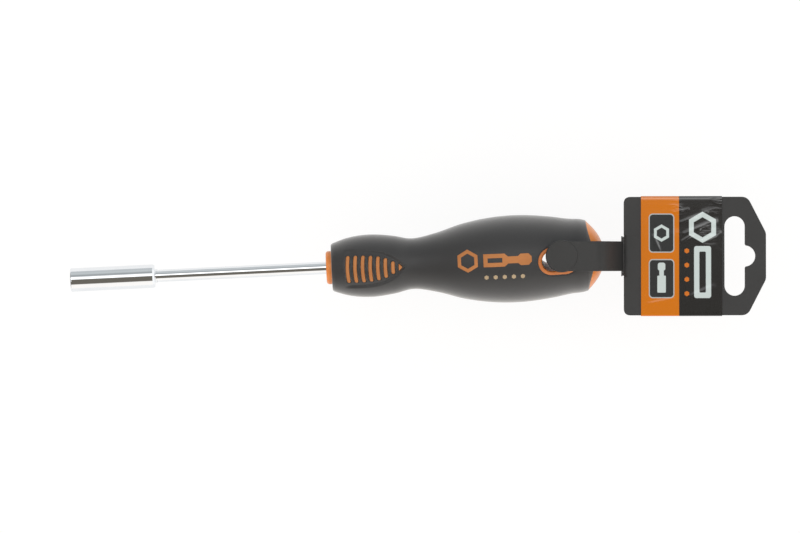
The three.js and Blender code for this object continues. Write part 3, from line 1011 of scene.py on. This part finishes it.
def make_thumb_ribs(finish):
    """The orange ribs in both thumb pads, bowed, with round ends and tops."""
    ribs = []
    step = 0.7
    for i in range(RIB_COUNT):
        place, half = rib_place(i)
        rib = long_rib(half) if i < RIB_COUNT - 1 else last_rib()
        bevelled(rib, top_edges(rib), RIB_ROUNDING, 4)
        sliced(rib, [-half + step * n for n in range(1, int(2 * half / step))], (0, 1, 0))

        def on_pad(co, place=place):
            at = place + co.x + rib_bow(co.y)
            depth = PAD_DEPTH - RIB_RISE + RIB_HEIGHT / 2 - co.z
            return (HANDLE_X + at, co.y, skin_z(at, co.y, depth))

        ribs.append(moved(rib, on_pad))
    bm = joined(*ribs)
    bmesh.ops.mirror(bm, geom=everything(bm), axis="Z", merge_dist=-1)
    finished("thumb_ribs", bm, finish, "driver", ["orange_body"])


# The outside of the grip, in stretches with their steps, which are short where it has detail
SKIN_STRETCHES = [
    (2.9, 6.4, 0.7),
    (6.4, 33.4, 0.2),
    (33.4, 83.0, 1.24),
    (83.0, 103.4, 0.5),
]
SKIN_FROM, SKIN_TO = SKIN_STRETCHES[0][0], SKIN_STRETCHES[-1][1]
PAD_REGION_END = 34.0
EYE_REGION_START = 80.0

# Columns of the grip's mesh, how many lie between a thumb pad's middle and its edge,
# and where along the handle they bend to follow that edge
GRIP_COLUMNS = 300
PAD_HALF_COLUMNS = 44
FLOW_FROM, FLOW_TO = 3.0, 52.0
TIP_SHARE = 0.12

# Where the rear lip's rows wait in the grip's profile until they are laid on the dome
LIP_MARK = 50.0
LIP_MARK_R = 10.0


def grip_outside():
    """Distances along the outside of the grip."""
    places = []
    for start, end, step in SKIN_STRETCHES:
        places += spaced(start, end, round((end - start) / step))[:-1]
    return places + [SKIN_TO]


def on_lip(share, rise, angle):
    """A point of the skin's rear lip, which laps over the dome on the two sides with pads."""
    at = share * (LIP_LEAST + LIP_REACH * math.cos(angle) ** 4)
    across = (1 - at / DOME_HEIGHT) ** (1 / DOME_BLUNTNESS)
    fall = DOME_HEIGHT * DOME_BLUNTNESS * across ** (DOME_BLUNTNESS - 1)
    out = Vector((RIM_R, fall)).normalized() * rise
    return HANDLE_X + GRIP_END + at + out.x, RIM_R * across + out.y


def crowded(angle):
    """An angle round the handle, drawn towards the middle of the nearer thumb pad."""
    return angle - math.sin(2 * angle) / 4


PAD_COLUMN = crowded(PAD_HALF_COLUMNS * math.tau / GRIP_COLUMNS)


def along_pad(at, angle):
    """The angle moved so that one column of the mesh runs along the thumb pad's edge."""
    edge = math.asin(pad_half(at - PAD_AT) / grip_radius(at))
    edge = max(edge, TIP_SHARE * PAD_COLUMN)
    outside_pad = max(1 - smooth(at, FLOW_FROM, PAD_AT), smooth(at, PAD_AT + PAD_LENGTH, FLOW_TO))
    edge += (PAD_COLUMN - edge) * outside_pad
    middle = math.pi * round(angle / math.pi)
    away = abs(angle - middle)
    if away < PAD_COLUMN:
        away *= edge / PAD_COLUMN
    else:
        quarter = math.pi / 2
        away = edge + (away - PAD_COLUMN) * (quarter - edge) / (quarter - PAD_COLUMN)
    return middle + math.copysign(away, angle - middle)


def pad_sink(at, y):
    """How deep the thumb pad and its slots lie under the grip's surface."""
    behind = at - PAD_AT
    half = pad_half(behind)
    step = 0.1
    lean = (pad_half(behind + step) - half) / step
    inside = (half - abs(y)) / math.hypot(1.0, lean)
    floor = PAD_DEPTH * smooth(inside, *PAD_EDGE) * smooth(behind, *PAD_FADE)
    slot = SLOT_DEPTH * (1 - smooth(rib_distance(at, y), *SLOT_EDGE))
    return floor + slot * smooth(inside, 0.0, 0.6)


def on_skin(x, radius, angle):
    """A point of the grip's outside, sunk in the thumb pads and round the hanging eye."""
    at = x - HANDLE_X
    angle = along_pad(at, angle)
    side = radius * math.sin(angle)
    on_pad_side = abs(math.cos(angle)) > 0.5
    if on_pad_side and at < PAD_REGION_END:
        radius -= pad_sink(at, side)
    if on_pad_side and at > EYE_REGION_START:
        radius -= EYE_DIP * (1 - smooth(eye_distance(at, side) - EYE_RIM, 0.0, EYE_DIP_WIDTH))
    return radius, angle


def make_grip(finish):
    """The soft skin: its outside, the lip over the dome, and its inner wall."""
    front_r = grip_radius(COLLAR_LENGTH)
    front_x = HANDLE_X + COLLAR_LENGTH
    end_x = HANDLE_X + GRIP_END
    inner = GRIP_WALL - PRESS_GAP
    wall_from = COLLAR_LENGTH + inner
    wall_to = GRIP_END - GRIP_WALL
    hole_r = COLLAR_R + PRESS_GAP
    chamfer, before_lip = 0.2, 0.3
    edge_r, edge_below, face_below = 0.6, 0.62, 0.75
    lip = [(i / 8, LIP_RISE) for i in range(1, 8)]
    lip += [(0.96, 0.135), (0.99, 0.1), (1.0, 0.04), (1.0, -0.1), (0.5, -0.1), (0.0, -0.1)]
    profile = [
        (front_x, hole_r + chamfer),
        (front_x, front_r - face_below),
        *arc(front_x + edge_r, front_r - edge_below, edge_r, 168, 110, 5),
        *[(HANDLE_X + at, grip_radius(at)) for at in grip_outside()],
        (end_x - before_lip, grip_radius(GRIP_END - before_lip)),
        *[(end_x + LIP_MARK + share, LIP_MARK_R + rise) for share, rise in lip],
        (end_x - PRESS_GAP, grip_radius(wall_to) - inner),
        *under_skin(inner, wall_to, wall_from, 30),
        (HANDLE_X + wall_from, hole_r),
        (front_x + chamfer, hole_r),
        (front_x, hole_r + chamfer),
    ]
    bm = turned(profile, GRIP_COLUMNS)
    near = 0.05
    for vert in bm.verts:
        x, y, z = vert.co
        radius = math.hypot(y, z)
        angle = crowded(math.atan2(y, z))
        at = x - HANDLE_X
        if at > GRIP_END + LIP_MARK - 1:
            x, radius = on_lip(at - GRIP_END - LIP_MARK, radius - LIP_MARK_R, angle)
        elif SKIN_FROM - near < at < SKIN_TO + near and radius > grip_radius(at) - inner / 2:
            radius, angle = on_skin(x, radius, angle)
        vert.co = (x, radius * math.sin(angle), radius * math.cos(angle))
    eye = pushed(stadium(EYE_RIM + EYE_SEAM, 32), -THROUGH, THROUGH)
    finished("grip_skin", cut(bm, eye), finish, "driver", ["grip"], 50)


# Pieces of the hang tag, in the tag's own frame
ARM_SEAT_Z = grip_radius(POST_AT - FRONT_DISC_R) + ARM_RUNNING_GAP


def bezier(t):
    """A point of the arm's bend, seen from the side, and the way that the arm runs there."""
    z0 = ARM_SEAT_Z + ARM_THICKNESS / 2
    points = [Vector((x, z)) for x, z in ARM_BEND]
    points[0].y += z0
    points[1].y += z0
    u = 1 - t
    here = (
        points[0] * u**3 + points[1] * 3 * u * u * t + points[2] * 3 * u * t * t + points[3] * t**3
    )
    along = (
        (points[1] - points[0]) * 3 * u * u
        + (points[2] - points[1]) * 6 * u * t
        + (points[3] - points[2]) * 3 * t * t
    )
    return here, along.normalized()


BEND_STEPS = 400


def bend_table():
    """Lengths along the bend, with the points that they reach."""
    table = [(0.0, bezier(0.0)[0])]
    for step in range(1, BEND_STEPS + 1):
        length, last = table[-1]
        spot = bezier(step / BEND_STEPS)[0]
        table.append((length + (spot - last).length, spot))
    return table


BEND_TABLE = bend_table()
ARM_LENGTH = ARM_FLAT + BEND_TABLE[-1][0]


def on_arm(co):
    """A point of the flat strap on the bent arm: along, across and height over its middle."""
    z0 = ARM_SEAT_Z + ARM_THICKNESS / 2
    if co.x <= ARM_FLAT:
        return (co.x, co.y, z0 + co.z)
    past = co.x - ARM_FLAT
    step = min(range(BEND_STEPS + 1), key=lambda i: abs(BEND_TABLE[i][0] - past))
    here, along = bezier(step / BEND_STEPS)
    return (here.x - along.y * co.z, co.y, here.y + along.x * co.z)


def arm_length_at(height):
    """Length along the arm at which its middle comes down to a height."""
    nearest = min((abs(spot.y - height), length) for length, spot in BEND_TABLE)
    return ARM_FLAT + nearest[1]


def bent_arm(half_outline, edge):
    """A strap from half of its flat outline, bevelled, bent down and cut at the plate."""
    bm = plate(half_outline, -ARM_THICKNESS / 2, ARM_THICKNESS / 2)
    bevelled(bm, rim_edges(bm), edge)
    sliced(bm, spaced(ARM_FLAT - 1, ARM_LENGTH, 44)[:-1], (1, 0, 0))
    moved(bm, on_arm)
    trimmed(bm, (0, 0, LEAF_NEAR), (0, 0, -1))
    trimmed(bm, (ARM_END_X, 0, 0), (1, 0, 0))
    return bm


def make_front_arm(finish):
    """The front strap, with its round end and the post through the eye."""
    strap = bent_arm(
        [(0.0, 0.0), (0.0, FRONT_HALF), (ARM_LENGTH, FRONT_HALF), (ARM_LENGTH, 0.0)], 0.42
    )
    half = ARM_THICKNESS / 2
    disc = plate(arc(0.0, 0.0, FRONT_DISC_R, 180, 0, 56), -half, half + FRONT_DISC_RISE)
    bevelled(disc, rim_edges(disc), 0.5, 4)
    moved(disc, on_arm)
    tip_z = -ARM_SEAT_Z - POST_TIP_LENGTH
    tip_chamfer = 0.2
    flare = [(-0.7, 0.0), (-0.2, 0.15), (0.4, 0.6)]
    top_z = ARM_SEAT_Z + flare[-1][0]
    profile = [
        (tip_z, 0.0),
        (tip_z, POST_TIP_R - tip_chamfer),
        (tip_z + tip_chamfer, POST_TIP_R),
        (-ARM_SEAT_Z, POST_R),
        *[(ARM_SEAT_Z + rise, POST_R + grow) for rise, grow in flare],
        (top_z, 0.0),
    ]
    bm = joined(strap, disc, turned(profile, 48, "Z"))
    finished("front_arm_strap", bm, finish, "arm", ["front_arm"], true_flats=True)


def make_rear_arm(finish):
    """The rear strap, with the ring that snaps on the post and a wide root."""
    ring = arc(0.0, 0.0, REAR_HALF, 180, 90, 20)
    bore = arc(0.0, 0.0, REAR_BORE_R, 0, 180, 28)
    strap = bent_arm([*ring, (ARM_LENGTH, REAR_HALF), (ARM_LENGTH, 0.0), *bore], 0.35)
    start = arm_length_at(2 * ROOT_HEIGHT)
    wide = [(start, 0.0), (start, ROOT_HALF), (ARM_LENGTH, ROOT_HALF), (ARM_LENGTH, 0.0)]
    root = bent_arm(wide, 0.1)
    trimmed(root, (0, 0, ROOT_HEIGHT), (0, 0, 1))
    trimmed(root, (ARM_END_X - ROOT_LENGTH, 0, 0), (-1, 0, 0))
    bm = joined(strap, root)
    bmesh.ops.scale(bm, vec=(1, 1, -1), verts=bm.verts)
    finished("rear_arm_strap", bm, finish, "snap_arm", ["rear_arm"], true_flats=True)


def make_hinge_bead(finish):
    """The thin web on the fold line, which joins the arms' roots to the plate."""
    end_gap = 0.2
    fold_x = (ARM_END_X + ARM_REACH) / 2
    along = Matrix.Translation((fold_x, 0, 0)) @ Matrix.Rotation(math.pi / 2, 4, "X")
    bm = prism(20, HINGE_BEAD_R, 2 * (ROOT_HALF - end_gap), along)
    bevelled(bm, sharp_edges(bm), 0.1)
    finished("hinge_bead", bm, finish, "arm", ())


def eased_corner(before, corner, after, radius, count=8):
    """Points round a corner of an outline, on the curve that the part's outline has there."""
    corner = Vector(corner)
    back = (Vector(before) - corner).normalized()
    on = (Vector(after) - corner).normalized()
    cut_back = radius / math.tan(math.acos(max(-1.0, min(1.0, back.dot(on)))) / 2)
    start, end = corner + back * cut_back, corner + on * cut_back
    points = []
    for i in range(count + 1):
        t = i / count
        points.append(tuple(start * (1 - t) ** 2 + corner * 2 * t * (1 - t) + end * t * t))
    return points


def plate_half():
    """Half of the tag plate's outline, round the outside and back round the euro slot."""
    far = ARM_REACH + PLATE_LENGTH
    start = (ARM_REACH, 0.0)
    near = (ARM_REACH, PLATE_HALF)
    slant = (far - PLATE_SLANT[0], PLATE_HALF)
    tip = (far, PLATE_HALF - PLATE_SLANT[1])
    end = (far, 0.0)
    slot_x = ARM_REACH + EURO_SLOT_AT
    slot_far = slot_x + EURO_SLOT_R
    bump = arc(slot_far, 0.0, EURO_BUMP_R, 0, 76, 16)
    lip = eased_corner(bump[-1], (slot_far, EURO_BUMP_R), (slot_far, EURO_SLOT_HALF), EURO_LIP_R, 5)
    return [
        start,
        *eased_corner(start, near, slant, PLATE_CORNER_R),
        *eased_corner(near, slant, tip, PLATE_SLANT_R),
        *eased_corner(slant, tip, end, PLATE_SLANT_R),
        end,
        *bump,
        *lip[1:],
        *arc(slot_x, EURO_SLOT_HALF, EURO_SLOT_R, 0, 180, 28),
        (slot_x - EURO_SLOT_R, 0.0),
    ]


def make_leaf(name, node, side, finish):
    """One half of the tag's plate, with a bevelled root where the living hinge folds."""
    bm = plate(plate_half(), LEAF_NEAR, LEAF_NEAR + LEAF_THICKNESS)
    bevelled(bm, rim_edges(bm), 0.2)
    land, bevel_length, before, past, side_gap = 0.15, 1.5, 1.0, 2.5, 0.3
    low = LEAF_NEAR + land
    slope = (LEAF_THICKNESS - land) / bevel_length
    half = ROOT_HALF + side_gap
    top = low + past * slope
    wedge = bmesh.new()
    corners = [(-before, low - before * slope), (past, top), (-before, top)]
    face = wedge.faces.new([wedge.verts.new((ARM_REACH + x, -half, z)) for x, z in corners])
    bm = cut(bm, raised(wedge, [face], (0, 2 * half, 0)))
    bmesh.ops.scale(bm, vec=(1, 1, side), verts=bm.verts)
    finished(name, bm, finish, "tag", [node], true_flats=True)


# Creases of the film: where each runs in the label's plan, its width and its height
CREASES = [
    ((16.0, 13.5), (26.5, 17.6), 0.5, 0.10),
    ((17.5, 9.0), (30.0, 14.2), 0.7, 0.12),
    ((16.5, 6.0), (23.5, 10.4), 0.45, 0.08),
    ((24.0, 5.5), (31.5, 9.6), 0.6, 0.09),
    ((13.0, 17.5), (19.0, 18.8), 0.4, 0.08),
    ((5.0, 8.0), (7.5, 2.0), 0.6, 0.06),
    ((20.0, -16.0), (29.0, -12.0), 0.8, 0.06),
    ((3.0, -19.0), (13.0, -17.0), 0.6, 0.05),
]


def crease_height(x, y):
    """How far the film stands up in its creases."""
    total = 0.0
    spot = Vector((x, y))
    for start, end, width, height in CREASES:
        start, end = Vector(start), Vector(end)
        along = end - start
        t = min(max((spot - start).dot(along) / along.length_squared, 0.0), 1.0)
        away = (spot - start - along * t).length
        total += height * math.exp(-((away / width) ** 2)) * (1 - 0.6 * abs(2 * t - 1))
    return total


def make_label(finish):
    """The printed film round both leaves."""
    half_y, half_z = LABEL_HALF
    slack, slack_deg, radius = 6.0, 10, 0.6
    tilt = math.radians(slack_deg)
    edge_y = half_y - radius
    flat_y = edge_y - (slack - radius) * math.sin(tilt)
    edge_z = half_z - slack + (slack - radius) * math.cos(tilt)
    across = [(y, half_z) for y in spaced(-flat_y, flat_y, 144)]
    shoulder = arc(flat_y, half_z - slack, slack, 90, 90 - slack_deg, 5)[1:]
    fold = arc(edge_y, edge_z, radius, 90 - slack_deg, 0, 7)[1:]
    quarter = shoulder + fold
    section = [
        *across,
        *quarter,
        *[(y, -z) for y, z in reversed(quarter)],
        *[(-y, -z) for y, z in across],
        *[(-y, -z) for y, z in quarter],
        *[(-y, z) for y, z in reversed(quarter)],
    ]
    bm = bmesh.new()
    start = ARM_REACH + LABEL_AT
    verts = [bm.verts.new((start, y, z)) for y, z in section]
    ring = [bm.edges.new(pair) for pair in zip(verts, verts[1:] + verts[:1])]
    steps = 100
    for _ in range(steps):
        grown = bmesh.ops.extrude_edge_only(bm, edges=ring)["geom"]
        bmesh.ops.translate(
            bm,
            verts=[item for item in grown if isinstance(item, bmesh.types.BMVert)],
            vec=(LABEL_LENGTH / steps, 0, 0),
        )
        ring = [item for item in grown if isinstance(item, bmesh.types.BMEdge) and item.is_boundary]
    for vert in bm.verts:
        x, y, z = vert.co
        if abs(z) > half_z - 1e-4:
            fade = smooth(flat_y - abs(y), 0.0, 1.5)
            lift = crease_height(x - start, y if z > 0 else -y)
            vert.co.z += math.copysign(lift * fade, z)
    bmesh.ops.recalc_face_normals(bm, faces=bm.faces)
    bmesh.ops.solidify(bm, geom=bm.faces[:], thickness=LABEL_FILM)
    finished("label_film", bm, finish, "tag", ["label_wrap"], 50)


# Sign moulded through the grip: a drive hexagon and a bit, over a row of small marks
def make_inlay(name, shapes, finish):
    """Flat outlines laid on the grip's surface, a little proud of it, with rounded edges."""
    depth, proud, rounding, past = 0.6, 0.06, 0.1, 2.0
    parts = []
    for outline, hole in shapes:
        bm = pushed(outline, -depth, proud)
        if hole:
            bm = cut(bm, pushed(hole, -past, past))
        bevelled(bm, top_edges(bm), rounding, 2)
        for axis, step in (((0, 1, 0), 0.5), ((1, 0, 0), 1.0)):
            places = [vert.co.dot(axis) for vert in bm.verts]
            low, high = min(places), max(places)
            sliced(bm, spaced(low, high, max(2, int((high - low) / step)))[1:-1], axis)
        parts.append(moved(bm, lambda co: (HANDLE_X + co.x, co.y, skin_z(co.x, co.y, -co.z))))
    finished(name, joined(*parts), finish, "driver", ())


def hexagon_outline(at, y, radius):
    """A hexagon with two corners square across the handle."""
    return arc(at, y, radius, 30, 390, 6)[:-1]


def sign_shapes():
    """The outlines of the drive hexagon and of the bit beside it."""
    middle, hexagon_at = 1.6, 56.4
    hexagon = (hexagon_outline(hexagon_at, middle, 4.6), hexagon_outline(hexagon_at, middle, 3.0))
    shank = [(62.6, 2.6), (71.0, 2.6)]
    blade = [(72.4, 1.4), (76.4, 1.4), (77.4, 2.3), (80.6, 2.3), (81.8, 1.0)]
    upper = [(at, middle + y) for at, y in shank + blade]
    lower = [(at, middle - y) for at, y in shank + blade]
    groove = [(at, middle + y) for at, y in ((64.3, -0.9), (70.1, -0.9), (70.1, 0.9), (64.3, 0.9))]
    return [hexagon, (lower + upper[::-1], groove)]


def mark_shapes():
    """The row of small hexagons under the sign."""
    return [(hexagon_outline(at, -5.2, 0.95), None) for at in (63.6, 67.2, 70.8, 74.4, 78.0)]


chrome = chrome_finish()
hard_orange = moulded_orange("hard_orange", (220, 126, 48), (230, 138, 60), 0.3, 2600, 0.25)
# The eye lining is the body's own orange plastic. Its darker colours here are painted shade of the
# hanging eye, not a different plastic.
shaded_eye_orange = moulded_orange("shaded_eye_orange", (182, 104, 46), (194, 114, 56), 0.34, 2600, 0.0)
# The ribs and the drive sign share this darker, duller orange. The ribs are the body's own plastic
# sunk in the pad's slots, so on them part of the darkness is painted shade of the slots and part is
# a duller surface.
rib_orange = moulded_orange("rib_orange", (170, 106, 52), (184, 118, 62), 0.5, 4200, 0.0)
pale_mark = moulded_orange("pale_mark", (166, 146, 116), (180, 160, 130), 0.5, 4200, 0.0)
soft_grip = soft_grip_finish()
tag_plastic = tag_plastic_finish()

make_sleeve(chrome)
make_retaining_ring(spring_wire_finish())
make_magnet(magnet_finish())
make_shaft(chrome)
make_orange_moulding(hard_orange)
make_eye_lining(shaded_eye_orange)
make_thumb_ribs(rib_orange)
make_grip(soft_grip)
make_inlay("drive_sign", sign_shapes(), rib_orange)
make_inlay("pale_marks", mark_shapes(), pale_mark)
make_front_arm(tag_plastic)
make_rear_arm(tag_plastic)
make_hinge_bead(tag_plastic)
make_leaf("front_leaf", "tag_front_leaf", 1, tag_plastic)
make_leaf("rear_leaf", "tag_rear_leaf", -1, tag_plastic)
make_label(label_finish())
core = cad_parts["inner_core"]
core.data.materials.clear()
core.data.materials.append(core_finish())


# Stage: light, camera, and a floor low enough for the tag and the rear arm to swing down
FLOOR_Z = -37.0


def make_floor(height):
    """A pale floor that looks white, and takes the object's shadow."""
    half_size, middle_x = 3.0, 0.12
    bm = bmesh.new()
    bmesh.ops.create_grid(bm, x_segments=2, y_segments=2, size=half_size)
    bmesh.ops.translate(bm, verts=bm.verts, vec=(middle_x, 0, height))
    mesh = bpy.data.meshes.new("floor")
    bm.to_mesh(mesh)
    bm.free()
    made, finish = material("pale_floor", Roughness=0.7, Specular_IOR_Level=0.2)
    seen = finish.rays("Is Camera Ray").most(finish.rays("Is Glossy Ray"))
    wired(
        finish,
        Base_Color=finish.mix(seen, (0.8, 0.8, 0.8, 1), (0.16, 0.16, 0.16, 1)),
        Emission_Color=finish.mix(seen, (0, 0, 0, 1), (0.84, 0.84, 0.84, 1)),
        Emission_Strength=1.0,
    )
    mesh.materials.append(made)
    floor = bpy.data.objects.new("floor", mesh)
    bpy.context.scene.collection.objects.link(floor)


def make_world():
    """A white light tent. Gloss sees its panels along the tool, with a dark gap overhead."""
    world = bpy.data.worlds.new("tent")
    bpy.context.scene.world = world
    finish = Finish(world)
    back = finish.tree.nodes.new("ShaderNodeBackground")
    out = finish.tree.nodes.new("ShaderNodeOutputWorld")
    finish.tree.links.new(back.outputs[0], out.inputs["Surface"])
    way = finish.node("ShaderNodeTexCoord", out="Generated")
    x, y, z = finish.apart(way)
    lean = y.maths("ARCTAN2", y, z)
    strip, lamp = (1.15, 1.15, 1.15), (2.4, 2.4, 2.4)
    pale, dark, grey = (1.2, 1.15, 1.1), (0.17, 0.155, 0.13), (0.4, 0.42, 0.43)
    panels = [
        (-90, pale),
        (-50, pale),
        (-43, dark),
        (1, dark),
        (3, strip),
        (7, strip),
        (10, lamp),
        (18, lamp),
        (21, strip),
        (25, strip),
        (33, grey),
        (42, grey),
        (50, (0.59, 0.62, 0.63)),
        (62, (0.66, 0.69, 0.7)),
        (73, (0.6, 0.63, 0.64)),
        (86, (0.63, 0.65, 0.67)),
        (90, (0.85, 0.86, 0.87)),
    ]
    stops = [((lean_deg + 90) / 180, light) for lean_deg, light in panels]
    gloss = finish.node("ShaderNodeValToRGB", {"stops": stops}, {0: lean / math.pi + 0.5})
    aside = abs(x)
    overhead = 1.0 - abs(y - 0.05).eased(0.3, 0.42)
    boxes = aside.eased(0.11, 0.14) * (1.0 - aside.eased(0.3, 0.36)) * overhead
    gloss = finish.mix(boxes, gloss, (2.2, 2.2, 2.2, 1))
    side = x.eased(0.36, 0.56) * (1.0 - x.eased(0.62, 0.68))
    gloss = finish.mix(side, gloss, (1.15, 1.15, 1.15, 1))
    gloss = finish.mix((-1.0 * x).eased(0.36, 0.56), gloss, (0.24, 0.23, 0.22, 1))
    light = finish.mix(y.eased(-0.7, 0.7), (1.4, 1.31, 1.21, 1), (0.86, 0.89, 0.91, 1))
    seen = finish.mix(finish.rays("Is Glossy Ray"), light, gloss)
    finish.tree.links.new(seen.socket, back.inputs["Color"])


def make_camera():
    """The photograph's view, straight down on the tool, which lies a little askew in it."""
    turn = math.radians(2.75)
    distance, view_width, sensor_width = 1.8, 0.32, 36.0
    target = Vector((0.1178, -0.0009, 0.0))
    right = Vector((math.cos(turn), -math.sin(turn), 0.0))
    back = Vector((0.0, 0.0, 1.0))
    up = back.cross(right)
    lens = bpy.data.cameras.new("camera")
    lens.sensor_width = sensor_width
    lens.lens = sensor_width * distance / view_width
    lens.clip_start, lens.clip_end = 0.01, 20.0
    camera = bpy.data.objects.new("camera", lens)
    facing = Matrix((right, up, back)).transposed().to_4x4()
    camera.matrix_world = Matrix.Translation(target + back * distance) @ facing
    bpy.context.scene.collection.objects.link(camera)
    bpy.context.scene.camera = camera


make_floor(FLOOR_Z * MM)
make_world()
make_camera()
bpy.context.scene.view_settings.view_transform = "Standard"
